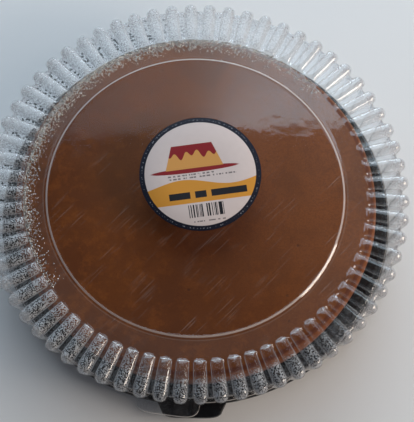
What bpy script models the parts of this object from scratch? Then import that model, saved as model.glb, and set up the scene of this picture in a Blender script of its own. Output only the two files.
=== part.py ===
"""Creme caramel flan in its shop pack: black tray, flan, clear fluted lid and a round label.

Metres, +Z up. The origin is the centre of the tray's flat underside, on the pack's axis.
The lift tabs are on the -Y side.
"""
import math

import bmesh
import bpy
from mathutils import Matrix, Vector

MM = 0.001
GAP = 0.3 * MM                    # clearance between pieces that touch

# Tray: a shallow turned pan with a raised well edge and a flange that carries the lid
TRAY_WALL = 1.0 * MM
TRAY_STEPS = 48
WELL_FLOOR_RADIUS = 106.5 * MM
WELL_EDGE_RADIUS = 117.2 * MM     # middle of the raised well edge
WELL_EDGE_WIDTH = 1.4 * MM
WELL_EDGE_HEIGHT = 15.0 * MM
RIM_RADIUS = 121.8 * MM
RIM_HEIGHT = 12.0 * MM
RIM_LIP_DROP = 2.4 * MM

# Flan: widest a little under its rounded top edge, narrower at its foot
FLAN_STEPS = 48
FLAN_TOP = 36.8 * MM
FLAN_DISH = 0.8 * MM              # how far the middle of the top has sunk
FLAN_RADIUS = 112.0 * MM
FLAN_FOOT_RADIUS = 105.8 * MM
FLAN_EDGE = 4.8 * MM              # radius of the rounded top edge

# Lid: flat centre panel, stepped ring, flat shoulder, fluted band, fluted skirt, flange
LID_WALL = 0.8 * MM
LID_TOP = 52.0 * MM
PANEL_RADIUS = 90.7 * MM
RING_STEP_RUN = 1.6 * MM
RING_STEP_DROP = 0.8 * MM
SHOULDER_RADIUS = 105.5 * MM
LID_FOOT_RADIUS = 119.8 * MM
LID_FLANGE_RADIUS = 121.2 * MM

# Flutes: parallel-sided fingers with round ends, standing proud of the valleys between them
FLUTES = 66
FINGER_HALF_WIDTH = 3.9 * MM
FINGER_CREST_HALF_WIDTH = 2.3 * MM
FINGER_TIP_RADIUS = 131.5 * MM
VALLEY_EDGE_RADIUS = 127.4 * MM

# Lift tabs
TAB_ROOT_HALF_WIDTH = 18.5 * MM
TAB_END_HALF_WIDTH = 13.5 * MM
TAB_REACH = 129.8 * MM
TAB_CORNER = 5.0 * MM
TAB_ROOT_STEPS = 6
LID_TAB_TURN = math.radians(-6.8)

# Label
LABEL_RADIUS = 37.5 * MM
LABEL_THICKNESS = 0.3 * MM
LABEL_CENTRE = (3.0 * MM, 13.5 * MM)
LABEL_STEPS = 48

SHARP_ANGLE = math.radians(35)


def clear_scene():
    """Remove whatever the start-up file holds."""
    for thing in list(bpy.data.objects):
        bpy.data.objects.remove(thing, do_unlink=True)


def principled(name, colour, roughness, alpha=1.0, transmission=0.0):
    """One Principled material."""
    material = bpy.data.materials.new(name)
    material.use_nodes = True
    shader = material.node_tree.nodes["Principled BSDF"]
    shader.inputs["Base Color"].default_value = (*colour, 1.0)
    shader.inputs["Roughness"].default_value = roughness
    shader.inputs["Alpha"].default_value = alpha
    shader.inputs["Transmission Weight"].default_value = transmission
    material.diffuse_color = (*colour, alpha)
    return material


def add_object(name, shape, material=None):
    """Turn a bmesh into a named object that is smooth on its round stretches."""
    mesh = bpy.data.meshes.new(name)
    shape.to_mesh(mesh)
    shape.free()
    mesh.shade_smooth()
    mesh.set_sharp_from_angle(angle=SHARP_ANGLE)
    piece = bpy.data.objects.new(name, mesh)
    bpy.context.collection.objects.link(piece)
    if material:
        mesh.materials.append(material)
    return piece


def join_solids(piece, addition):
    """Unite a helper solid with a piece, and keep the helper out of sight."""
    addition.hide_render = True
    addition.display_type = "WIRE"
    union = piece.modifiers.new("unite " + addition.name, "BOOLEAN")
    union.operation = "UNION"
    union.solver = "EXACT"
    union.object = addition


def turned_solid(profile, steps):
    """Spin a profile of (radius, height) points that starts and ends on the axis."""
    shape = bmesh.new()
    points = [shape.verts.new((radius, 0.0, height)) for radius, height in profile]
    edges = [shape.edges.new(pair) for pair in zip(points, points[1:])]
    bmesh.ops.spin(
        shape, geom=points + edges, cent=(0, 0, 0), axis=(0, 0, 1),
        angle=math.tau, steps=steps, use_merge=True)
    bmesh.ops.remove_doubles(shape, verts=shape.verts, dist=1e-6)
    bmesh.ops.dissolve_degenerate(shape, edges=shape.edges, dist=1e-7)
    bmesh.ops.recalc_face_normals(shape, faces=shape.faces)
    return shape


def arc(centre, radius, start, end, count):
    """Points of an arc in the profile plane, angles in degrees from the outward direction."""
    angles = [math.radians(start + (end - start) * i / (count - 1)) for i in range(count)]
    return [(centre[0] + radius * math.cos(a), centre[1] + radius * math.sin(a)) for a in angles]


def tab_plate(underside, thickness, turn):
    """A flat tab that widens from its rounded end to a root that follows the rim."""
    root_radius = LID_FLANGE_RADIUS - 0.6 * MM
    spread = math.asin(TAB_ROOT_HALF_WIDTH / root_radius)
    outline = []
    for i in range(TAB_ROOT_STEPS + 1):
        angle = spread * (1 - 2 * i / TAB_ROOT_STEPS)
        outline.append((root_radius * math.sin(angle), -root_radius * math.cos(angle)))
    outline.append((-TAB_END_HALF_WIDTH, -TAB_REACH))
    outline.append((TAB_END_HALF_WIDTH, -TAB_REACH))
    shape = bmesh.new()
    face = shape.faces.new([shape.verts.new((x, y, underside)) for x, y in outline])
    raised = bmesh.ops.extrude_face_region(shape, geom=[face])
    top = [item for item in raised["geom"] if isinstance(item, bmesh.types.BMVert)]
    bmesh.ops.translate(shape, vec=(0, 0, thickness), verts=top)
    corners = [
        edge for edge in shape.edges
        if abs(edge.verts[0].co.z - edge.verts[1].co.z) > thickness / 2
        and edge.verts[0].co.y < -TAB_REACH + 0.1 * MM]
    bmesh.ops.bevel(
        shape, geom=corners, offset=TAB_CORNER, offset_type="OFFSET", affect="EDGES",
        segments=4, profile=0.5, material=-1)
    bmesh.ops.rotate(shape, cent=(0, 0, 0), matrix=Matrix.Rotation(turn, 3, "Z"), verts=shape.verts)
    bmesh.ops.recalc_face_normals(shape, faces=shape.faces)
    return shape


def make_tray():
    """The black tray: flat floor, sloping well wall, raised edge, flange and turned-down lip."""
    wall = TRAY_WALL
    edge_in = WELL_EDGE_RADIUS - WELL_EDGE_WIDTH / 2
    edge_out = WELL_EDGE_RADIUS + WELL_EDGE_WIDTH / 2
    profile = [
        (0, wall),
        (WELL_FLOOR_RADIUS, wall),
        (WELL_FLOOR_RADIUS + 1.6 * MM, wall + 0.9 * MM),
        (edge_in - 1.2 * MM, WELL_EDGE_HEIGHT - 1.4 * MM),
        (edge_in, WELL_EDGE_HEIGHT),
        (edge_out, WELL_EDGE_HEIGHT),
        (edge_out + 0.5 * MM, RIM_HEIGHT),
        (RIM_RADIUS - 0.6 * MM, RIM_HEIGHT),
        (RIM_RADIUS, RIM_HEIGHT - 0.7 * MM),
        (RIM_RADIUS, RIM_HEIGHT - RIM_LIP_DROP),
        (RIM_RADIUS - wall, RIM_HEIGHT - RIM_LIP_DROP),
        (RIM_RADIUS - wall, RIM_HEIGHT - wall),
        (edge_out - 0.4 * MM, RIM_HEIGHT - wall),
        (edge_out - 0.9 * MM, WELL_EDGE_HEIGHT - wall),
        (edge_in + 0.4 * MM, WELL_EDGE_HEIGHT - wall),
        (WELL_FLOOR_RADIUS + 2.2 * MM, 0.6 * MM),
        (WELL_FLOOR_RADIUS + 0.6 * MM, 0),
        (0, 0),
    ]
    material = principled("tray black", (0.012, 0.012, 0.014), 0.22)
    tray = add_object("tray", turned_solid(profile, TRAY_STEPS), material)
    tab = add_object("tray_tab_shape", tab_plate(RIM_HEIGHT - wall, wall, 0.0))
    join_solids(tray, tab)


def make_flan():
    """The flan: a shallow dished top, a rounded edge and a side that tapers to its foot."""
    foot = TRAY_WALL + GAP
    edge_centre = (FLAN_RADIUS - FLAN_EDGE, FLAN_TOP - FLAN_EDGE)
    side_height = edge_centre[1] - foot
    profile = [(0, FLAN_TOP - FLAN_DISH), (0.75 * FLAN_RADIUS, FLAN_TOP - 0.4 * FLAN_DISH)]
    profile += arc(edge_centre, FLAN_EDGE, 90, 0, 5)
    profile += [
        (FLAN_RADIUS - 1.0 * MM, foot + 0.6 * side_height),
        (FLAN_FOOT_RADIUS + 0.6 * MM, foot + 2.5 * MM),
        (FLAN_FOOT_RADIUS - 1.4 * MM, foot),
        (0, foot),
    ]
    material = principled("flan caramel", (0.13, 0.055, 0.025), 0.4)
    add_object("flan", turned_solid(profile, FLAN_STEPS), material)


def flute_row(valley, crest, foot_half, crest_half):
    """One row across a flute: foot, two crest points, foot, and the next flute's foot.

    valley and crest are (radius, height); the half widths are measured across the finger.
    """
    pitch = math.tau / FLUTES
    foot_angle = foot_half / valley[0]
    crest_angle = crest_half / crest[0]
    return [
        (valley, -foot_angle), (crest, -crest_angle), (crest, crest_angle),
        (valley, foot_angle), (valley, pitch - foot_angle)]


def polar_point(radius, height, angle):
    return Vector((radius * math.cos(angle), radius * math.sin(angle), height))


def lid_skin():
    """The lid's outer surface: one flute's strip from shoulder to flange, repeated round."""
    shoulder_height = LID_TOP - RING_STEP_DROP
    foot_height = RIM_HEIGHT + GAP + LID_WALL
    shoulder = (SHOULDER_RADIUS, shoulder_height)
    rows = [
        flute_row(shoulder, shoulder, 3.4 * MM, 1.2 * MM),
        flute_row((SHOULDER_RADIUS + 1.2 * MM, shoulder_height - 1.0 * MM),
                  (SHOULDER_RADIUS + 2.2 * MM, LID_TOP + 0.2 * MM),
                  FINGER_HALF_WIDTH - 0.3 * MM, FINGER_CREST_HALF_WIDTH),
        flute_row((VALLEY_EDGE_RADIUS - 1.2 * MM, LID_TOP - 4.0 * MM),
                  (VALLEY_EDGE_RADIUS, LID_TOP - 1.0 * MM),
                  FINGER_HALF_WIDTH, FINGER_CREST_HALF_WIDTH),
        flute_row((VALLEY_EDGE_RADIUS, LID_TOP - 5.6 * MM),
                  (FINGER_TIP_RADIUS, LID_TOP - 4.4 * MM),
                  FINGER_HALF_WIDTH, FINGER_CREST_HALF_WIDTH - 0.2 * MM),
        flute_row((LID_FOOT_RADIUS, foot_height), (LID_FOOT_RADIUS, foot_height),
                  FINGER_HALF_WIDTH - 0.4 * MM, FINGER_CREST_HALF_WIDTH),
    ]
    pitch = math.tau / FLUTES
    shape = bmesh.new()
    grid = [[shape.verts.new(polar_point(*point, angle)) for point, angle in row] for row in rows]
    for inner, outer in zip(grid, grid[1:]):
        for i in range(len(inner) - 1):
            shape.faces.new((inner[i], outer[i], outer[i + 1], inner[i + 1]))

    def ring_pair(radius, height, start):
        return [shape.verts.new(polar_point(radius, height, start + side)) for side in (0, pitch)]

    step_foot = ring_pair(PANEL_RADIUS + RING_STEP_RUN, shoulder_height, rows[0][0][1])
    step_top = ring_pair(PANEL_RADIUS, LID_TOP, rows[0][0][1])
    flange = ring_pair(LID_FLANGE_RADIUS, foot_height, rows[-1][0][1])
    shape.faces.new([step_foot[0], *grid[0], step_foot[1]])
    shape.faces.new([step_top[0], step_foot[0], step_foot[1], step_top[1]])
    shape.faces.new([flange[1], *reversed(grid[-1]), flange[0]])
    bmesh.ops.spin(
        shape, geom=shape.verts[:] + shape.edges[:] + shape.faces[:], cent=(0, 0, 0),
        axis=(0, 0, 1), angle=math.tau - pitch, steps=FLUTES - 1, use_duplicate=True)
    bmesh.ops.remove_doubles(shape, verts=shape.verts, dist=1e-5)
    panel_edges = [
        edge for edge in shape.edges
        if edge.is_boundary and min(vert.co.z for vert in edge.verts) > LID_TOP - 1e-5]
    bmesh.ops.holes_fill(shape, edges=panel_edges, sides=FLUTES)
    bmesh.ops.recalc_face_normals(shape, faces=shape.faces)
    return shape


def make_lid():
    """The clear lid: the fluted skin given a wall inwards, with its lift tab."""
    material = principled("lid clear", (0.92, 0.95, 0.97), 0.05, alpha=0.35, transmission=0.9)
    lid = add_object("lid", lid_skin(), material)
    wall = lid.modifiers.new("wall", "SOLIDIFY")
    wall.thickness = LID_WALL
    wall.offset = -1.0
    wall.use_even_offset = True
    tab = add_object("lid_tab_shape", tab_plate(RIM_HEIGHT + GAP, LID_WALL, LID_TAB_TURN))
    join_solids(lid, tab)


def make_label():
    """The round label, just above the lid's centre panel."""
    shape = bmesh.new()
    bmesh.ops.create_cone(
        shape, cap_ends=True, segments=LABEL_STEPS, radius1=LABEL_RADIUS,
        radius2=LABEL_RADIUS, depth=LABEL_THICKNESS)
    height = LID_TOP + GAP + LABEL_THICKNESS / 2
    bmesh.ops.translate(shape, vec=(*LABEL_CENTRE, height), verts=shape.verts)
    add_object("label", shape, principled("label paper", (0.86, 0.82, 0.78), 0.55))


def main():
    clear_scene()
    make_tray()
    make_flan()
    make_lid()
    make_label()


main()
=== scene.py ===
import math
import random

import bmesh
import bpy
from bpy.props import FloatProperty, FloatVectorProperty, IntProperty, PointerProperty
from mathutils import Matrix, Vector, noise


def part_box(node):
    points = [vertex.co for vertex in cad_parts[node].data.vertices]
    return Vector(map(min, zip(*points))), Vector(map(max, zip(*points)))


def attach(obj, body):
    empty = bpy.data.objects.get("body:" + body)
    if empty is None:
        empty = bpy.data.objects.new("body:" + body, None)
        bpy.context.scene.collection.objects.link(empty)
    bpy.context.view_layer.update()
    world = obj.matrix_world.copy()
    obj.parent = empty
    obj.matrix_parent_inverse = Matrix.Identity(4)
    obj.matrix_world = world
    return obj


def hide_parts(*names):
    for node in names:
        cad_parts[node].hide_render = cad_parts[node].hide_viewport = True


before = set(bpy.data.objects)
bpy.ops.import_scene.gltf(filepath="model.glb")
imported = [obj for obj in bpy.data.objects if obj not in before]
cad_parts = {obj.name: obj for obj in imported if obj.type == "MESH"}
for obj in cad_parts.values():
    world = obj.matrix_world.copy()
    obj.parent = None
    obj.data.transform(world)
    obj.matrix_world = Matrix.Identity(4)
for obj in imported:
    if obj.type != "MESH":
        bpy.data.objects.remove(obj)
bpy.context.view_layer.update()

bl_info = {
    "name": "Creme Caramel Flan Pack",
    "version": (1, 0, 0),
    "blender": (4, 5, 0),
    "location": "View3D > Sidebar > Flan Pack",
    "description": "Models a creme caramel flan on its black tray under a clear fluted lid",
    "category": "Object",
}

MM = 0.001
TRAY_LOW, TRAY_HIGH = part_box("tray")
FLAN_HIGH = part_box("flan")[1]
LID_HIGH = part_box("lid")[1]
LABEL_LOW, LABEL_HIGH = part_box("label")
LABEL_CENTRE = (LABEL_LOW + LABEL_HIGH) / 2
TOWARDS_TABS = -math.pi / 2
TAB_HALF_ANGLE = math.radians(9.2)
TRAY_LEDGE = 12.0 * MM  # top of the tray's flange
LID_FOOT = 12.3 * MM  # underside of the lid's flange
LID_FLANGE_RADIUS = 121.2 * MM
PANEL_TOP = LID_HIGH.z - 0.2 * MM  # top of the lid's panel, which the label lies on
SHOULDER_TOP = PANEL_TOP - 0.8 * MM


# ---------------------------------------------------------------- settings


class TraySettings(bpy.types.PropertyGroup):
    """Sizes of the black tray."""
    rim_radius: FloatProperty(
        name="Rim radius", description="Outside of the turned-down rim",
        default=TRAY_HIGH.x, unit="LENGTH")
    wall: FloatProperty(
        name="Wall", description="Thickness of the sheet", default=0.9 * MM, unit="LENGTH")
    steps: IntProperty(
        name="Steps", description="Segments round the tray", default=360, min=24)
    colour: FloatVectorProperty(
        name="Colour", description="Black of the sheet", subtype="COLOR", default=(0.006, 0.006, 0.007))


class FlanSettings(bpy.types.PropertyGroup):
    """Sizes and colours of the flan."""
    steps: IntProperty(
        name="Steps", description="Segments round the flan", default=240, min=24)
    unevenness: FloatProperty(
        name="Unevenness", description="How far the surface strays from a true round",
        default=0.5 * MM, unit="LENGTH")
    caramel: FloatVectorProperty(
        name="Caramel", description="Main brown of the top", subtype="COLOR",
        default=(0.185, 0.048, 0.005))
    # Dark caramel is also the painted shade on the lower left of the top, besides the colour of the
    # grain.
    dark_caramel: FloatVectorProperty(
        name="Dark caramel", description="Brown where the caramel lies thickest", subtype="COLOR",
        default=(0.120, 0.029, 0.003))
    # Pale caramel is also the painted light on the upper right of the top, besides the colour of the pale
    # clouds.
    pale_caramel: FloatVectorProperty(
        name="Pale caramel", description="Brown where the custard shows through", subtype="COLOR",
        default=(0.300, 0.080, 0.010))


class LidSettings(bpy.types.PropertyGroup):
    """Sizes of the clear lid."""
    flutes: IntProperty(name="Flutes", description="Fingers round the lid", default=66, min=8)
    wall: FloatProperty(
        name="Wall", description="Thickness of the clear sheet", default=0.5 * MM, unit="LENGTH")
    panel_radius: FloatProperty(
        name="Panel radius", description="Edge of the centre panel, at the ring step",
        default=90.6 * MM, unit="LENGTH")
    shoulder_radius: FloatProperty(
        name="Shoulder radius", description="Where the flutes begin", default=105.3 * MM, unit="LENGTH")
    finger_half_width: FloatProperty(
        name="Finger half width", description="Half the width of one finger",
        default=4.2 * MM, unit="LENGTH")
    phase: FloatProperty(
        name="Phase", description="Where the middle of one finger lies, from the X axis",
        default=math.radians(-88.5), subtype="ANGLE")
    finger_steps: IntProperty(
        name="Finger steps", description="Segments across one finger", default=10, min=4)
    valley_steps: IntProperty(
        name="Valley steps", description="Segments across one valley", default=3, min=1)


class DropletSettings(bpy.types.PropertyGroup):
    """Condensation under the lid."""
    count: IntProperty(name="Count", description="Droplets under the lid", default=9000, min=0)
    smallest: FloatProperty(
        name="Smallest", description="Radius of the smallest droplet", default=0.30 * MM, unit="LENGTH")
    largest: FloatProperty(
        name="Largest", description="Radius of the largest droplet", default=0.70 * MM, unit="LENGTH")
    seed: IntProperty(name="Seed", description="Starts the random places", default=11)


class LabelSettings(bpy.types.PropertyGroup):
    """Sizes and print of the round label."""
    radius: FloatProperty(
        name="Radius", description="Radius of the label",
        default=(LABEL_HIGH.x - LABEL_LOW.x) / 2, unit="LENGTH")
    turn: FloatProperty(
        name="Turn", description="How far the label is turned anticlockwise",
        default=math.radians(8), subtype="ANGLE")
    paper: FloatVectorProperty(
        name="Paper", description="Colour of the bare field", subtype="COLOR", default=(0.62, 0.52, 0.49))
    border: FloatVectorProperty(
        name="Border", description="Colour of the border ring", subtype="COLOR",
        default=(0.005, 0.006, 0.016))
    band: FloatVectorProperty(
        name="Band", description="Colour of the wavy band", subtype="COLOR", default=(0.62, 0.27, 0.035))
    motif: FloatVectorProperty(
        name="Motif", description="Colour of the drawn flan's caramel and plate", subtype="COLOR",
        default=(0.24, 0.012, 0.016))
    custard: FloatVectorProperty(
        name="Custard", description="Colour of the drawn flan's side", subtype="COLOR",
        default=(0.62, 0.30, 0.08))


class StageSettings(bpy.types.PropertyGroup):
    """Camera, lights and floor."""
    tilt: FloatProperty(
        name="Tilt", description="How far the camera leans from straight down",
        default=math.radians(20.9), subtype="ANGLE")
    distance: FloatProperty(
        name="Distance", description="From the camera to the lid's top", default=1.2, unit="LENGTH")
    lens: FloatProperty(name="Lens", description="Focal length", default=167.4 * MM, unit="CAMERA")
    aim: FloatVectorProperty(
        name="Aim", description="Where the view's middle meets the lid's top, from its centre",
        size=2, default=(7.1 * MM, -10.3 * MM), unit="LENGTH")
    floor: FloatVectorProperty(
        name="Floor", description="Colour of the floor", subtype="COLOR", default=(0.78, 0.78, 0.78))


# ---------------------------------------------------------------- shader maths


class Link:
    """An output socket that adds Math nodes when it is used in an expression."""

    def __init__(self, finish, socket):
        self.finish = finish
        self.socket = socket

    def maths(self, operation, *values, clamp=False):
        settings = {"operation": operation, "use_clamp": clamp}
        return self.finish.add("ShaderNodeMath", settings, dict(enumerate(values)))

    def __add__(self, other):
        return self.maths("ADD", self, other)

    def __radd__(self, other):
        return self.maths("ADD", other, self)

    def __sub__(self, other):
        return self.maths("SUBTRACT", self, other)

    def __rsub__(self, other):
        return self.maths("SUBTRACT", other, self)

    def __mul__(self, other):
        return self.maths("MULTIPLY", self, other)

    def __rmul__(self, other):
        return self.maths("MULTIPLY", other, self)

    def __truediv__(self, other):
        return self.maths("DIVIDE", self, other)

    def __rtruediv__(self, other):
        return self.maths("DIVIDE", other, self)

    def __pow__(self, other):
        return self.maths("POWER", self, other)

    def __abs__(self):
        return self.maths("ABSOLUTE", self)

    def cos(self):
        return self.maths("COSINE", self)

    def angle_to(self, other):
        return self.maths("ARCTAN2", self, other)

    def below(self, limit):
        return self.maths("LESS_THAN", self, limit)

    def above(self, limit):
        return self.maths("GREATER_THAN", self, limit)

    def larger(self, other):
        return self.maths("MAXIMUM", self, other)

    def clamped(self):
        return self.maths("ADD", self, 0.0, clamp=True)

    def ramp(self, low, high, to_low=0.0, to_high=1.0):
        """A smooth step from to_low at low to to_high at high."""
        return self.finish.add(
            "ShaderNodeMapRange", {"interpolation_type": "SMOOTHSTEP"},
            {"Value": self, "From Min": low, "From Max": high, "To Min": to_low, "To Max": to_high})

    def inside(self, low, high, soft):
        """One between low and high, with soft edges."""
        return self.ramp(low - soft, low + soft) * self.ramp(high + soft, high - soft)


class Finish:
    """A material under construction."""

    def __init__(self, name):
        self.material = bpy.data.materials.new(name)
        self.material.use_nodes = True
        self.tree = self.material.node_tree
        self.tree.nodes.clear()

    def add(self, kind, settings=None, values=None, output=0):
        """A node of this type, its settings first and then its sockets. Returns one output."""
        node = self.tree.nodes.new(kind)
        for key, value in (settings or {}).items():
            if key == "stops":
                self.set_stops(node.color_ramp, value)
            else:
                setattr(node, key, value)
        for key, value in (values or {}).items():
            socket = node.inputs[key]
            if isinstance(value, Link):
                self.tree.links.new(value.socket, socket)
            elif hasattr(value, "__len__") and len(value) == 3 and socket.type == "RGBA":
                socket.default_value = (*value, 1.0)
            else:
                socket.default_value = value
        return Link(self, node.outputs[output])

    @staticmethod
    def set_stops(ramp, stops):
        """Give a colour ramp these (place, colour) stops."""
        while len(ramp.elements) > 1:
            ramp.elements.remove(ramp.elements[-1])
        for i, (place, colour) in enumerate(stops):
            element = ramp.elements[0] if i == 0 else ramp.elements.new(place)
            element.position = place
            element.color = (*colour, 1.0)

    def place(self, centre=(0, 0, 0), turn=0.0, unit=(1, 1, 1)):
        """The piece's own coordinates from a centre, along turned axes, in these units."""
        start = self.add("ShaderNodeTexCoord", output="Object")
        return self.add(
            "ShaderNodeMapping", {"vector_type": "TEXTURE"},
            {"Vector": start, "Location": tuple(centre), "Rotation": (0, 0, turn), "Scale": unit})

    def parts(self, vector):
        """The X, Y and Z of a vector."""
        split = self.add("ShaderNodeSeparateXYZ", values={0: vector})
        outputs = split.socket.node.outputs
        return [Link(self, outputs[i]) for i in range(3)]

    def noise(self, vector, size, detail=2.0, roughness=0.5, distortion=0.0):
        """Noise from 0 to 1 whose blotches are about this many metres across."""
        return self.add(
            "ShaderNodeTexNoise", {"noise_dimensions": "3D"},
            {"Vector": vector, "Scale": 1 / size, "Detail": detail, "Roughness": roughness,
             "Distortion": distortion}, output=0)

    def cells(self, vector, size, randomness=1.0):
        """Distance to the nearest cell point, as a share of the cell's size."""
        return self.add(
            "ShaderNodeTexVoronoi", {"feature": "F1"},
            {"Vector": vector, "Scale": 1 / size, "Randomness": randomness}, output="Distance")

    def mix(self, factor, first, second):
        """Two colours mixed. The node's colour sockets are its seventh and eighth."""
        return self.add(
            "ShaderNodeMix", {"data_type": "RGBA"}, {0: factor, 6: first, 7: second}, output=2)

    def bump(self, height, distance, strength):
        """A normal that follows a height pattern."""
        return self.add(
            "ShaderNodeBump", values={"Strength": strength, "Distance": distance, "Height": height})

    def principled(self, **values):
        """A Principled shader, with its sockets named in lower case with underscores."""
        names = {key.replace("_", " ").title().replace("Ior", "IOR"): value
                 for key, value in values.items()}
        return self.add("ShaderNodeBsdfPrincipled", values=names)

    def layer(self, factor, under, over):
        """One shader laid over another."""
        return self.add("ShaderNodeMixShader", values={0: factor, 1: under, 2: over})

    def finished(self, shader):
        """The material, once its surface is connected."""
        node = self.tree.nodes.new("ShaderNodeOutputMaterial")
        self.tree.links.new(shader.socket, node.inputs["Surface"])
        return self.material


# ---------------------------------------------------------------- modelling helpers


def piece_from(shape, name, material, node=None, smooth_angle=math.radians(40)):
    """Turn a bmesh into a piece that rides on the pack."""
    mesh = bpy.data.meshes.new(name)
    shape.to_mesh(mesh)
    shape.free()
    mesh.shade_smooth()
    mesh.set_sharp_from_angle(angle=smooth_angle)
    mesh.materials.append(material)
    piece = bpy.data.objects.new(name, mesh)
    bpy.context.scene.collection.objects.link(piece)
    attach(piece, "root")
    if node:
        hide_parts(node)
    return piece


def turned(profile, steps):
    """Spin a profile of (radius, height) points, from axis to axis, into a closed body."""
    shape = bmesh.new()
    points = [shape.verts.new((radius, 0, height)) for radius, height in profile]
    edges = [shape.edges.new(pair) for pair in zip(points, points[1:])]
    bmesh.ops.spin(
        shape, geom=points + edges, cent=(0, 0, 0), axis=(0, 0, 1), angle=math.tau,
        steps=steps, use_merge=True)
    bmesh.ops.remove_doubles(shape, verts=shape.verts, dist=1e-6)
    bmesh.ops.dissolve_degenerate(shape, edges=shape.edges, dist=1e-7)
    bmesh.ops.recalc_face_normals(shape, faces=shape.faces)
    return shape


def arc(centre, radius, start, end, count):
    """Points of an arc in the profile plane, angles in degrees from the outward direction."""
    angles = [math.radians(start + (end - start) * i / (count - 1)) for i in range(count)]
    return [(centre[0] + radius * math.cos(a), centre[1] + radius * math.sin(a)) for a in angles]


def polar(vertex):
    """A vertex's radius and angle round the upright axis."""
    return math.hypot(vertex.co.x, vertex.co.y), math.atan2(vertex.co.y, vertex.co.x)


def tab_reach(angle, middle, root_radius):
    """The outline's radius at an angle: the root radius, and further out over a lift tab."""
    off = abs((angle - middle + math.pi) % math.tau - math.pi)
    if off >= TAB_HALF_ANGLE:
        return root_radius
    end = -TRAY_LOW.y / math.cos(off)
    return root_radius + (end - root_radius) * (1 - (off / TAB_HALF_ANGLE) ** 5) ** 0.5


def pull_tab(shape, middle, root_radius, inner_radius, ceiling):
    """Shift the rim's outer rows, below the ceiling, out to a lift tab round one angle."""
    for vertex in shape.verts:
        radius, angle = polar(vertex)
        if radius < inner_radius or vertex.co.z > ceiling:
            continue
        shifted = radius + tab_reach(angle, middle, root_radius) - root_radius
        vertex.co.x, vertex.co.y = shifted * math.cos(angle), shifted * math.sin(angle)


# ---------------------------------------------------------------- tray


def tray_finish(settings):
    """Black sheet with a soft gloss, some haze and specks of dust."""
    finish = Finish("black tray sheet")
    where = finish.place()
    dust = finish.noise(where, 0.9 * MM, detail=3.0).ramp(0.62, 0.78)
    haze = finish.noise(where, 22 * MM, detail=3.0).ramp(0.35, 0.75)
    ripple = finish.noise(where, 14 * MM, detail=1.0)
    colour = finish.mix(dust * 0.5, tuple(settings.colour), (0.035, 0.034, 0.034))
    shader = finish.principled(
        base_color=colour, roughness=haze * 0.16 + 0.14, specular_ior_level=0.35,
        normal=finish.bump(ripple, 0.35 * MM, 0.6))
    return finish.finished(shader)


def tray_profile(settings):
    """Outline of the tray's section, over the top from the axis and back underneath."""
    wall, rim = settings.wall, settings.rim_radius
    top, ledge = TRAY_HIGH.z, TRAY_LEDGE
    edge_in, edge_out, floor = 116.5 * MM, 117.9 * MM, 106.5 * MM
    over = [(0, wall), (0.5 * floor, wall), (floor - 4 * MM, wall)]
    over += [(floor + 0.4 * MM, wall + 0.15 * MM), (floor + 2.2 * MM, wall + 1.6 * MM)]
    over += [(edge_in - 1.4 * MM, top - 2.0 * MM), (edge_in - 0.7 * MM, top - 0.7 * MM)]
    over += arc((edge_in + 0.3 * MM, top - 0.5 * MM), 0.5 * MM, 110, 60, 3)
    over += arc((edge_out - 0.4 * MM, top - 0.5 * MM), 0.5 * MM, 90, 10, 4)
    over += [(edge_out + 0.2 * MM, ledge + 0.5 * MM), (edge_out + 0.6 * MM, ledge)]
    over += [(rim - 2.0 * MM, ledge)]
    over += arc((rim - 0.9 * MM, ledge - 0.9 * MM), 0.9 * MM, 80, 0, 5)
    over += [(rim, ledge - 2.4 * MM)]
    under = [(rim - wall, ledge - 2.4 * MM), (rim - wall, ledge - wall - 0.2 * MM)]
    under += [(rim - wall - 0.4 * MM, ledge - wall), (edge_out - 0.3 * MM, ledge - wall)]
    under += [(edge_out - 0.7 * MM, top - wall), (edge_in + 0.3 * MM, top - wall)]
    under += [(floor + 2.9 * MM, 0.9 * MM), (floor + 1.2 * MM, 0), (0, 0)]
    return over + under


class FLANPACK_OT_make_tray(bpy.types.Operator):
    """Model the black tray with its raised well edge, flange and lift tab"""
    bl_idname = "flanpack.make_tray"
    bl_label = "Make Tray"

    def execute(self, context):
        settings = context.scene.flanpack_tray
        turn, rim_width = math.radians(-1), 2.1 * MM
        shape = turned(tray_profile(settings), settings.steps)
        pull_tab(
            shape, TOWARDS_TABS + turn, settings.rim_radius, settings.rim_radius - rim_width,
            TRAY_LEDGE + 0.1 * MM)
        piece_from(shape, "black_tray", tray_finish(settings), "tray")
        return {"FINISHED"}


# ---------------------------------------------------------------- flan


def flan_finish(settings):
    """Caramel with painted light, paler towards the upper right and darker towards the lower left, with
    blotches, fine grain and a few pores.
    """
    finish = Finish("caramel custard")
    where = finish.place()
    x, y, _ = finish.parts(where)
    blotch = finish.noise(where, 30 * MM, detail=4.0, roughness=0.55, distortion=0.4)
    cloud = finish.noise(where, 8 * MM, detail=4.0, roughness=0.65)
    grain = finish.noise(where, 1.1 * MM, detail=2.0)
    pores = finish.cells(where, 21 * MM).ramp(0.06, 0.03)
    # Painted light: the top is paler towards the upper right and darker towards the lower left, following
    # the fall of the lamps.
    painted_light_side = ((x * 0.85 + y * 0.55) / (100 * MM)).ramp(-0.9, 1.0)
    colour = finish.mix(painted_light_side, tuple(settings.dark_caramel), tuple(settings.pale_caramel))
    colour = finish.mix(blotch.ramp(0.40, 0.62) * 0.6, colour, tuple(settings.caramel))
    colour = finish.mix(cloud.ramp(0.48, 0.66) * 0.35, colour, tuple(settings.pale_caramel))
    colour = finish.mix(grain.ramp(0.42, 0.62) * 0.32, colour, tuple(settings.dark_caramel))
    rim = ((x * x + y * y) ** 0.5).inside(108 * MM, 110.5 * MM, 0.5 * MM)
    colour = finish.mix(rim * 0.6, colour, (0.085, 0.012, 0.004))
    colour = finish.mix(pores * 0.45, colour, (0.03, 0.012, 0.005))
    relief = blotch * 0.5 + cloud * 0.3 + grain * 0.08 - pores * 0.3
    shader = finish.principled(
        base_color=colour, roughness=cloud * 0.2 + 0.50, specular_ior_level=0.15,
        normal=finish.bump(relief, 0.5 * MM, 0.5))
    return finish.finished(shader)


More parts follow.
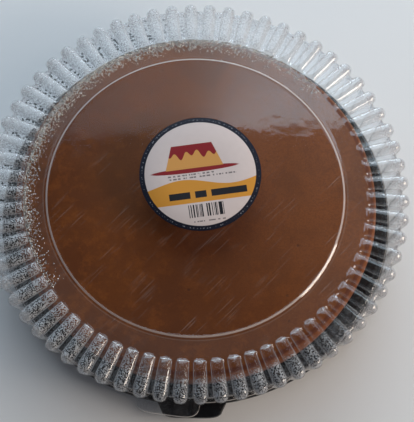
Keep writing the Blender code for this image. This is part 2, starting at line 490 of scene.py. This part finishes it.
def flan_profile(foot):
    """Outline of the flan's section: dished top, rounded edge, tapered side and flat foot."""
    radius, top = FLAN_HIGH.x, FLAN_HIGH.z
    edge, dish, taper = 4.8 * MM, 0.8 * MM, 6.0 * MM
    rings, side_rings = 26, 9
    centre = (radius - edge, top - edge)
    profile = []
    for i in range(rings):
        share = i / rings
        profile.append((share * centre[0], top - dish * (1 - share * share)))
    profile += arc(centre, edge, 90, 0, 9)
    for i in range(1, side_rings):
        share = i / side_rings
        profile.append((radius - taper * share ** 1.5, centre[1] - (centre[1] - foot) * share))
    profile += [(radius - taper - 0.6 * MM, foot + 0.8 * MM), (radius - taper - 2.0 * MM, foot)]
    return profile + [(0, foot)]


def make_uneven(shape, foot, amount):
    """Swell and sink the flan's surface a little: its top up and down, its edge also outwards."""
    for vertex in shape.verts:
        if vertex.co.z < foot + 0.5 * MM:
            continue
        point = vertex.co.copy()
        swell = noise.noise(point / (45 * MM)) + 0.4 * noise.noise(point / (14 * MM))
        outward = Vector((point.x, point.y, 0))
        level = 1.0 if point.z > FLAN_HIGH.z - 1.5 * MM else 0.3
        vertex.co.z += amount * swell * level
        if outward.length > 0.9 * FLAN_HIGH.x:
            vertex.co += outward.normalized() * amount * swell


class FLANPACK_OT_make_flan(bpy.types.Operator):
    """Model the flan: dished top, rounded edge and a side that tapers to its foot"""
    bl_idname = "flanpack.make_flan"
    bl_label = "Make Flan"

    def execute(self, context):
        settings = context.scene.flanpack_flan
        foot = TRAY_LOW.z + 1.0 * MM
        shape = turned(flan_profile(foot), settings.steps)
        make_uneven(shape, foot, settings.unevenness)
        piece_from(shape, "flan_body", flan_finish(settings), "flan")
        return {"FINISHED"}


# ---------------------------------------------------------------- lid


def lid_rows(settings):
    """Rows of the lid's outer surface, from the panel's centre to the flange.

    Each row is (valley radius, valley height, crest radius, crest height); where the lid is
    plain, crest and valley are the same.
    """
    top, low = PANEL_TOP, SHOULDER_TOP
    panel, shoulder = settings.panel_radius, settings.shoulder_radius
    foot_radius, flange = LID_FLANGE_RADIUS - 1.4 * MM, LID_FLANGE_RADIUS
    foot = LID_FOOT + settings.wall

    plain = [(share * panel, top) for share in (0.25, 0.5, 0.7, 0.85, 0.95, 0.985)]
    plain += arc((panel, top - 0.4 * MM), 0.4 * MM, 90, 25, 4)
    plain += arc((panel + 1.75 * MM, low + 0.5 * MM), 0.5 * MM, 205, 270, 4)
    plain += [(panel + 3.5 * MM, low), ((panel + shoulder) / 2 + 1 * MM, low)]
    plain += [(shoulder - 1.5 * MM, low)]
    rows = [(r, z, r, z) for r, z in plain]

    start_valley = [(0.0, 0.0), (0.9, -0.25), (1.7, -0.8), (2.4, -1.1), (3.4, -1.3), (5.5, -1.5)]
    start_crest = [(0.0, 0.0), (0.35, 0.35), (1.0, 0.85), (1.9, 1.2), (3.0, 1.35), (5.0, 1.35)]
    for (vr, vz), (cr, cz) in zip(start_valley, start_crest):
        rows.append((shoulder + vr * MM, low + vz * MM, shoulder + cr * MM, low + cz * MM))

    valley_end, crest_end = (125.6 * MM, low - 3.2 * MM), (126.4 * MM, low + 0.2 * MM)
    first = rows[-1]
    for share in (0.33, 0.66, 1.0):
        rows.append((
            first[0] + (valley_end[0] - first[0]) * share, first[1] + (valley_end[1] - first[1]) * share,
            first[2] + (crest_end[0] - first[2]) * share, first[3] + (crest_end[1] - first[3]) * share))

    tip = LID_HIGH.x
    valley_nose = arc((valley_end[0], valley_end[1] - 1.8 * MM), 1.8 * MM, 75, 0, 6)
    crest_nose = arc((tip - 4.6 * MM, crest_end[1] - 4.4 * MM), 4.6 * MM, 75, 0, 6)
    for (vr, vz), (cr, cz) in zip(valley_nose, crest_nose):
        rows.append((vr, vz, cr, cz))

    last = rows[-1]
    for share in (0.15, 0.35, 0.6, 0.8, 0.93, 1.0):
        fade = share ** 1.3
        vr = last[0] + (foot_radius - last[0]) * share
        vz = last[1] + (foot + 0.3 * MM - last[1]) * share
        rows.append((
            vr, vz, last[2] + (foot_radius - last[2]) * (share + fade) / 2,
            last[3] + (foot + 0.3 * MM - last[3]) * share))
    plain = (foot_radius + 0.3 * MM, flange - 0.7 * MM, flange)
    rows += [(radius, foot, radius, foot) for radius in plain]
    return rows


def columns(settings):
    """Places across one flute: (share of the way across the finger, height share, valley share)."""
    found = []
    for i in range(settings.finger_steps + 1):
        x = math.sin(math.pi * (i / settings.finger_steps - 0.5))
        crown = max(0.0, 1 - abs(x) ** 2.15) ** (1 / 2.15)
        found.append((x, crown, 0.0))
    for i in range(1, settings.valley_steps + 1):
        found.append((1.0, 0.0, i / settings.valley_steps))
    return found


def lid_point(row, column, settings):
    """Place of one point of the first flute, which is centred on angle 0."""
    valley_radius, valley_height, crest_radius, crest_height = row
    across, crown, valley_share = column
    widest = 0.38  # half a finger's width at most, as a share of the pitch
    radius = valley_radius + crown * (crest_radius - valley_radius)
    height = valley_height + crown * (crest_height - valley_height)
    pitch = math.tau / settings.flutes
    half_angle = min(settings.finger_half_width / max(valley_radius, 1e-6), widest * pitch)
    angle = across * half_angle + valley_share * (pitch - 2 * half_angle)
    return Vector((radius * math.cos(angle), radius * math.sin(angle), height))


def lid_skin(settings):
    """The outer surface: one flute's strip, repeated round the axis."""
    shape = bmesh.new()
    cut_edge = shape.verts.layers.float.new("cut edge")
    rows, across = lid_rows(settings), columns(settings)
    pitch = math.tau / settings.flutes
    grid = [[shape.verts.new(lid_point(row, column, settings)) for column in across] for row in rows]
    for vertex in grid[-1]:
        vertex[cut_edge] = 1.0
    for inner, outer in zip(grid, grid[1:]):
        for i in range(len(across) - 1):
            shape.faces.new((inner[i], outer[i], outer[i + 1], inner[i + 1]))
    centre = shape.verts.new((0, 0, rows[0][1]))
    for i in range(len(across) - 1):
        shape.faces.new((centre, grid[0][i], grid[0][i + 1]))
    bmesh.ops.rotate(
        shape, cent=(0, 0, 0), matrix=Matrix.Rotation(settings.phase, 3, "Z"), verts=shape.verts)
    bmesh.ops.spin(
        shape, geom=shape.verts[:] + shape.edges[:] + shape.faces[:], cent=(0, 0, 0),
        axis=(0, 0, 1), angle=math.tau - pitch, steps=settings.flutes - 1, use_duplicate=True)
    bmesh.ops.remove_doubles(shape, verts=shape.verts, dist=5e-6)
    bmesh.ops.recalc_face_normals(shape, faces=shape.faces)
    return shape


def skin_over(finish, factor, colour, normal, dulled):
    """Clear skin: part milky, the rest see-through, with a reflection that grows at the edge."""
    sheet = finish.add("ShaderNodeBsdfTransparent", values={"Color": (0.975, 0.98, 0.985)})
    milk = finish.principled(base_color=colour, roughness=0.4)
    gloss = finish.add(
        "ShaderNodeBsdfGlossy", values={"Color": (1, 1, 1), "Roughness": 0.04, "Normal": normal})
    grazing = finish.add("ShaderNodeLayerWeight", values={"Blend": 0.5, "Normal": normal}, output=1)
    shine = (grazing ** 5 * 0.95 + 0.045) * (1 - dulled * 0.8)
    milky = (factor + grazing ** 4 * 0.16).clamped()
    return finish.layer(shine, finish.layer(milky, sheet, milk), gloss)


def towards(x, y, radius, degrees):
    """One in this direction from the lid's axis, minus one opposite to it."""
    angle = math.radians(degrees)
    return (x * math.cos(angle) + y * math.sin(angle)) / radius


def outer_finish(settings):
    """The outside of the sheet: a faint haze that grows towards the upper right as painted light,
    scratches, and painted highlights along the ring's step.
    """
    finish = Finish("clear lid, outside")
    where = finish.place()
    x, y, z = finish.parts(where)
    radius = (x * x + y * y) ** 0.5 + 1e-6
    top = z.above(LID_HIGH.z - 2.4 * MM)

    # Painted light: the milky haze grows towards the upper right, where the lamps fall, over a faint haze
    # with blotches and a band over the shoulder.
    haze_and_painted_light = ((x * 0.5 + y * 0.86) / (100 * MM)).ramp(-0.6, 1.1) * 0.042
    haze_and_painted_light = haze_and_painted_light * (finish.noise(where, 40 * MM, detail=2.0) * 0.9 + 0.55)
    haze_and_painted_light = haze_and_painted_light + radius.ramp(92 * MM, 94 * MM) * radius.ramp(110 * MM, 104 * MM) * 0.030
    streaks = finish.noise(
        finish.place(turn=math.radians(46), unit=(60, 1, 1)), 0.42 * MM, detail=0.0)
    rubbed = finish.noise(where, 26 * MM, detail=1.0).ramp(0.40, 0.58)
    scratch = streaks.ramp(0.71, 0.77) * rubbed * 0.13
    # Painted highlights: milky lines at the top and at the foot of the ring's step, pinkish at the top,
    # stand in for the light the step catches.
    painted_ring_highlight = abs(radius - settings.panel_radius - 0.5 * MM).ramp(0.75 * MM, 0.35 * MM) * 0.50
    painted_heel_highlight = abs(radius - settings.panel_radius - 2.6 * MM).ramp(0.45 * MM, 0.20 * MM) * 0.08
    rim = finish.add(
        "ShaderNodeAttribute", {"attribute_name": "cut edge"}, output="Fac").ramp(0.2, 0.9) * 0.8
    milk_colour = finish.mix((painted_ring_highlight * 2).clamped(), (0.70, 0.66, 0.62), (0.78, 0.66, 0.60))

    fogged = towards(x, y, radius, 160).ramp(-0.1, 0.5)
    wobble = finish.noise(where, 12 * MM, detail=2.0)
    normal = finish.bump(wobble, 0.20 * MM, 0.5)
    shader = skin_over(
        finish, (haze_and_painted_light + scratch + painted_ring_highlight + painted_heel_highlight) * top + rim, milk_colour, normal, fogged)
    return finish.finished(shader)


def inner_finish(settings):
    """The inside of the sheet, with fine condensation that follows the flutes, painted highlights on its
    folds and drops of water painted dark.
    """
    finish = Finish("clear lid, inside")
    where = finish.place()
    x, y, z = finish.parts(where)
    radius = (x * x + y * y) ** 0.5 + 1e-6
    angle = y.angle_to(x) - settings.phase
    wave = (angle * float(settings.flutes)).cos()
    valley = wave.ramp(-0.55, -0.80)
    fluted = radius.ramp(104.5 * MM, 107 * MM) * z.ramp(30 * MM, 46 * MM, 0.12, 1.0)
    outer = radius.ramp(114 * MM, 119 * MM)
    ball = radius.ramp(122 * MM, 126 * MM)

    left = towards(x, y, radius, 185).ramp(0.05, 0.65)
    near = towards(x, y, radius, 258).ramp(0.30, 0.75)
    far = towards(x, y, radius, 132).ramp(0.1, 0.6)
    right = towards(x, y, radius, 330).ramp(-0.1, 0.5)
    amount = (left * 0.60).larger(near * outer * 0.52).larger(far * 0.40).larger(ball * 0.42) + 0.02
    cell = finish.cells(where, 0.85 * MM)
    speck = cell.ramp(0.43, 0.56)
    patch = finish.noise(where, 5 * MM, detail=2.0).ramp(0.30, 0.60)
    fog = fluted * amount * (speck * 0.98 + 0.02) * (patch * 0.35 + 0.65)
    fog = fog * (1 - valley * (left * 0.3).larger(near * 0.65))

    # Painted highlights: milky lines along the flanks of the flutes and at the starts of the fingers
    # stand in for the light these folds catch.
    flank = abs(wave + 0.66).ramp(0.17, 0.05) * radius.ramp(106 * MM, 107 * MM) * z.above(46 * MM)
    start = abs(radius - 105.9 * MM).ramp(0.55 * MM, 0.25 * MM) * wave.ramp(-0.75, -0.50)
    painted_flute_highlights = (flank * (near * 0.34).larger(right * 0.24)).larger(start * near * 0.36)
    painted_flute_highlights = painted_flute_highlights.larger(flank * left * 0.5)

    # Painted shade: drops of water in the valleys and along the shoulder's crease are painted near black.
    bead = finish.cells(where, 2.0 * MM, randomness=0.8).ramp(0.44, 0.38)
    beaded = towards(x, y, radius, 150).ramp(0.35, 0.75)
    rows = valley * radius.ramp(106 * MM, 108 * MM) * radius.ramp(126 * MM, 123 * MM)
    edge = abs(radius - 104.4 * MM).ramp(1.2 * MM, 0.6 * MM)
    water_beads_painted_dark = bead * beaded * rows.larger(edge) * z.above(40 * MM)
    milk_colour = finish.mix(water_beads_painted_dark, (0.70, 0.70, 0.71), (0.008, 0.007, 0.006))

    relief = finish.bump(0.0 - fluted * cell * (left.larger(near) * 0.7 + 0.3), 0.35 * MM, 0.6)
    shader = skin_over(
        finish, fog.larger(water_beads_painted_dark).larger(painted_flute_highlights), milk_colour, relief,
        left.larger(far).larger(near * outer))
    return finish.finished(shader)


class FLANPACK_OT_make_lid(bpy.types.Operator):
    """Model the clear lid: stepped ring, fluted band and skirt, flange and lift tab"""
    bl_idname = "flanpack.make_lid"
    bl_label = "Make Lid"

    def execute(self, context):
        settings = context.scene.flanpack_lid
        shape = lid_skin(settings)
        turn, rim_width = math.radians(-7.8), 0.8 * MM
        pull_tab(
            shape, TOWARDS_TABS + turn, LID_FLANGE_RADIUS, LID_FLANGE_RADIUS - rim_width,
            LID_FOOT + settings.wall + 1 * MM)
        lid = piece_from(
            shape, "clear_lid", outer_finish(settings), "lid", math.radians(60))
        lid.data.materials.append(inner_finish(settings))
        wall = lid.modifiers.new("wall", "SOLIDIFY")
        wall.thickness = settings.wall
        wall.offset = -1.0
        wall.material_offset = 1
        return {"FINISHED"}


# ---------------------------------------------------------------- droplets


def water_finish():
    """A drop that is slightly milky in its middle, with a painted dark rim, and glints on top."""
    finish = Finish("condensed water")
    facing = finish.add("ShaderNodeLayerWeight", values={"Blend": 0.5}, output=1)
    middle = finish.add("ShaderNodeBsdfTransparent", values={"Color": (0.97, 0.97, 0.97)})
    # Painted shade: the dark see-through rim stands in for the dark edge that refraction gives a clear
    # drop.
    rim = finish.add("ShaderNodeBsdfTransparent", values={"Color": (0.20, 0.16, 0.15)})
    glint = finish.add("ShaderNodeBsdfGlossy", values={"Color": (1, 0.92, 0.82), "Roughness": 0.08})
    milk = finish.principled(base_color=(0.90, 0.78, 0.68), roughness=0.3)
    drop = finish.layer(facing.ramp(0.20, 0.50), finish.layer(0.25, middle, milk), rim)
    return finish.finished(finish.layer(facing ** 5 * 0.5 + 0.26, drop, glint))


def droplet_batch(chance, count, settings, lid):
    """A small mesh with some droplets at random places under the lid's shoulder."""
    under = SHOULDER_TOP - lid.wall
    first, last, thickest, reach = 40, 215, 127, 95  # degrees round the lid
    shape = bmesh.new()
    inner = lid.panel_radius + 3 * MM
    for _ in range(count):
        degrees = chance.uniform(first, last)
        angle = math.radians(degrees)
        spread = chance.random() ** 0.38
        radius = inner + spread * (lid.shoulder_radius - inner)
        density = (1 - abs(degrees - thickest) / reach) ** 0.7
        if chance.random() > density * (0.15 + 0.85 * spread):
            continue
        size = settings.smallest + (settings.largest - settings.smallest) * chance.random() ** 2
        drop = bmesh.ops.create_icosphere(shape, subdivisions=1, radius=size)["verts"]
        bmesh.ops.scale(shape, vec=(1, 1, 0.6), verts=drop)
        bmesh.ops.rotate(
            shape, cent=(0, 0, 0), verts=drop,
            matrix=Matrix.Rotation(chance.uniform(0, math.tau), 3, "Z"))
        bmesh.ops.translate(
            shape, verts=drop,
            vec=(radius * math.cos(angle), radius * math.sin(angle), under - 0.1 * size))
    mesh = bpy.data.meshes.new("droplet batch")
    shape.to_mesh(mesh)
    shape.free()
    return mesh


class FLANPACK_OT_make_droplets(bpy.types.Operator):
    """Scatter condensed droplets under the lid's shoulder"""
    bl_idname = "flanpack.make_droplets"
    bl_label = "Make Droplets"

    def execute(self, context):
        settings = context.scene.flanpack_droplets
        lid = context.scene.flanpack_lid
        chance = random.Random(settings.seed)
        shape = bmesh.new()
        batch = 60
        for _ in range(settings.count // batch):
            mesh = droplet_batch(chance, batch, settings, lid)
            shape.from_mesh(mesh)
            bpy.data.meshes.remove(mesh)
        piece_from(shape, "droplets", water_finish(), None, math.radians(180))
        return {"FINISHED"}


# ---------------------------------------------------------------- label


def label_finish(settings):
    """Plain print: border ring, wavy band, a flan shape, dashes and a block of bars.

    Its coordinates are in millimetres, from the label's middle.
    """
    finish = Finish("printed label")
    middle = (LABEL_CENTRE.x, LABEL_CENTRE.y, 0)
    x, y, _ = finish.parts(finish.place(middle, settings.turn, (MM, MM, MM)))
    radius = (x * x + y * y) ** 0.5
    soft = 0.15

    wave = ((x + 12) * (math.tau / 62)).cos() * 2.8 - 5.7
    band = (y - wave).ramp(soft, -soft) * (y + 18.6).ramp(-soft, soft)
    half_width = 18 - (y - 4) * 0.34
    body = (abs(x + 3) - half_width).ramp(soft, -soft) * y.inside(4.2, 20, soft)
    drips = y - 13.5 - (x * 0.9).cos() * 1.9 - (x * 0.37 + 1).cos() * 1.2
    cap = body * drips.ramp(-soft, soft)
    plate = ((x + 3) * (x + 3) / (27 * 27) + (y - 3.2) * (y - 3.2) / (1.9 * 1.9)).ramp(1.1, 0.9)
    word = x.inside(-21, -8, soft).larger(x.inside(-5, 2, soft)).larger(x.inside(5, 27, soft))
    words = word * y.inside(-15.6, -11.2, soft)
    fine = finish.noise(finish.place(middle, settings.turn, (1.4 * MM, 11 * MM, 1)), 1.0, detail=0.0)
    lines = y.inside(-2.3, -1.3, 0.1) + y.inside(-0.4, 0.6, 0.1) * x.below(9)
    lines = lines + y.inside(-31.4, -30.6, 0.1) * x.inside(-8, 12, 0.2)
    dashes = fine.ramp(0.46, 0.50) * x.inside(-20, 22, soft) * lines.clamped()
    stripe = finish.noise(finish.place(middle, settings.turn, (MM, 1, 1)), 0.75, detail=0.0)
    bars = stripe.ramp(0.49, 0.51) * x.inside(-10.3, 12.3, soft) * y.inside(-28.2, -19.8, soft)
    ring = radius.ramp(34.1, 34.4)
    tick = finish.noise(finish.place(middle, 0.0, (1.1 * MM, 1.1 * MM, 1)), 1.0, detail=0.0)
    ticks = ring * radius.inside(35.6, 36.3, 0.1) * tick.ramp(0.60, 0.66) * 0.35

    mottle = finish.noise(finish.place(), 4 * MM, detail=3.0)
    paper = finish.mix(
        mottle, tuple(settings.paper), tuple(value * 1.08 for value in settings.paper))
    colour = finish.mix(band, paper, tuple(settings.band))
    colour = finish.mix(plate, colour, tuple(settings.motif))
    colour = finish.mix(body, colour, tuple(settings.custard))
    colour = finish.mix(cap, colour, tuple(settings.motif))
    colour = finish.mix((words + bars + dashes * 0.7).clamped(), colour, (0.012, 0.012, 0.016))
    colour = finish.mix(ring, colour, tuple(settings.border))
    colour = finish.mix(ticks, colour, (0.5, 0.5, 0.55))
    grain = finish.noise(finish.place(), 0.6 * MM, detail=2.0)
    shader = finish.principled(
        base_color=colour, roughness=mottle * 0.1 + 0.55, specular_ior_level=0.2,
        normal=finish.bump(grain, 0.02 * MM, 0.4))
    return finish.finished(shader)


class FLANPACK_OT_make_label(bpy.types.Operator):
    """Model the round label with its plain print"""
    bl_idname = "flanpack.make_label"
    bl_label = "Make Label"

    def execute(self, context):
        settings = context.scene.flanpack_label
        radius, thickness, steps = settings.radius, 0.16 * MM, 180
        under = PANEL_TOP + 0.04 * MM
        profile = [(0, under + thickness), (0.5 * radius, under + thickness)]
        profile += [(radius - 0.1 * MM, under + thickness), (radius, under + 0.6 * thickness)]
        profile += [(radius, under), (0.5 * radius, under), (0, under)]
        shape = turned(profile, steps)
        bmesh.ops.translate(
            shape, vec=(LABEL_CENTRE.x, LABEL_CENTRE.y, 0), verts=shape.verts)
        piece_from(shape, "round_label", label_finish(settings), "label")
        return {"FINISHED"}


# ---------------------------------------------------------------- stage


def floor_finish(settings):
    """A pale matt floor with a faint change of tone."""
    finish = Finish("plain floor")
    where = finish.place()
    tone = finish.noise(where, 0.4, detail=1.0)
    colour = finish.mix(
        tone, tuple(settings.floor), tuple(value * 1.04 for value in settings.floor))
    return finish.finished(finish.principled(base_color=colour, roughness=0.6))


def add_light(name, place, target, size, power, colour):
    """A soft rectangular lamp at a place, aimed at a target."""
    data = bpy.data.lights.new(name, "AREA")
    data.shape = "RECTANGLE"
    data.size, data.size_y = size
    data.energy = power
    data.color = colour
    lamp = bpy.data.objects.new(name, data)
    lamp.location = place
    lamp.rotation_euler = (Vector(target) - Vector(place)).to_track_quat("-Z", "Y").to_euler()
    bpy.context.scene.collection.objects.link(lamp)


def soft_room():
    """A dim ceiling over a brighter horizon."""
    world = bpy.data.worlds.new("soft room")
    world.use_nodes = True
    nodes, links = world.node_tree.nodes, world.node_tree.links
    direction = nodes.new("ShaderNodeTexCoord")
    parts = nodes.new("ShaderNodeSeparateXYZ")
    ramp = nodes.new("ShaderNodeValToRGB")
    links.new(direction.outputs["Generated"], parts.inputs[0])
    links.new(parts.outputs["Z"], ramp.inputs[0])
    Finish.set_stops(ramp.color_ramp, [
        (0.0, (0.38, 0.40, 0.44)), (0.35, (0.28, 0.295, 0.33)), (0.70, (0.035, 0.035, 0.04))])
    links.new(ramp.outputs[0], nodes["Background"].inputs["Color"])
    return world


class FLANPACK_OT_make_stage(bpy.types.Operator):
    """Set the camera, the soft lights and the plain floor"""
    bl_idname = "flanpack.make_stage"
    bl_label = "Make Stage"

    def execute(self, context):
        scene = context.scene
        settings = scene.flanpack_stage
        shape = bmesh.new()
        bmesh.ops.create_grid(shape, x_segments=2, y_segments=2, size=4.0)
        bmesh.ops.translate(shape, vec=(0, 0, -0.1 * MM), verts=shape.verts)
        mesh = bpy.data.meshes.new("floor")
        shape.to_mesh(mesh)
        shape.free()
        mesh.materials.append(floor_finish(settings))
        floor = bpy.data.objects.new("floor", mesh)
        scene.collection.objects.link(floor)

        scene.world = soft_room()
        scene.view_settings.view_transform = "Standard"
        scene.cycles.transparent_max_bounces = 48
        scene.cycles.max_bounces = 16

        add_light("window", (-0.04, 0.76, 0.78), (0, 0, 0), (1.5, 0.8), 7.4, (0.71, 0.87, 1.0))
        add_light("far window", (0.14, 1.45, 0.50), (0, 0, 0), (1.1, 0.20), 8.5, (0.78, 0.90, 1.0))
        add_light("warm wall", (1.10, -0.30, 0.55), (0, 0, 0), (0.6, 0.6), 10.5, (1.0, 0.87, 0.75))

        tilt = settings.tilt
        view = Vector((0, math.sin(tilt), -math.cos(tilt)))
        up = Vector((0, math.cos(tilt), math.sin(tilt)))
        aim = Vector((settings.aim[0], 0, PANEL_TOP)) + up * settings.aim[1]
        data = bpy.data.cameras.new("camera")
        data.sensor_fit = "VERTICAL"
        data.sensor_height = 36
        data.lens = settings.lens / MM
        data.clip_end = 20
        camera = bpy.data.objects.new("camera", data)
        camera.location = aim - view * settings.distance
        camera.rotation_euler = view.to_track_quat("-Z", "Y").to_euler()
        scene.collection.objects.link(camera)
        scene.camera = camera
        return {"FINISHED"}


# ---------------------------------------------------------------- add-on


class FLANPACK_PT_panel(bpy.types.Panel):
    """Lists the steps that model the pack"""
    bl_label = "Flan Pack"
    bl_space_type = "VIEW_3D"
    bl_region_type = "UI"
    bl_category = "Flan Pack"

    def draw(self, context):
        for step in STEPS:
            self.layout.operator(step.bl_idname)


GROUPS = {
    "flanpack_tray": TraySettings,
    "flanpack_flan": FlanSettings,
    "flanpack_lid": LidSettings,
    "flanpack_droplets": DropletSettings,
    "flanpack_label": LabelSettings,
    "flanpack_stage": StageSettings,
}
STEPS = (
    FLANPACK_OT_make_stage,
    FLANPACK_OT_make_tray,
    FLANPACK_OT_make_flan,
    FLANPACK_OT_make_lid,
    FLANPACK_OT_make_droplets,
    FLANPACK_OT_make_label,
)


def register():
    for kind in (*GROUPS.values(), *STEPS, FLANPACK_PT_panel):
        bpy.utils.register_class(kind)
    for name, kind in GROUPS.items():
        setattr(bpy.types.Scene, name, PointerProperty(type=kind))


def unregister():
    for name in GROUPS:
        delattr(bpy.types.Scene, name)
    for kind in (FLANPACK_PT_panel, *reversed(STEPS), *GROUPS.values()):
        bpy.utils.unregister_class(kind)


def main():
    register()
    bpy.ops.flanpack.make_stage()
    bpy.ops.flanpack.make_tray()
    bpy.ops.flanpack.make_flan()
    bpy.ops.flanpack.make_lid()
    bpy.ops.flanpack.make_droplets()
    bpy.ops.flanpack.make_label()


if __name__ == "__main__":
    main()
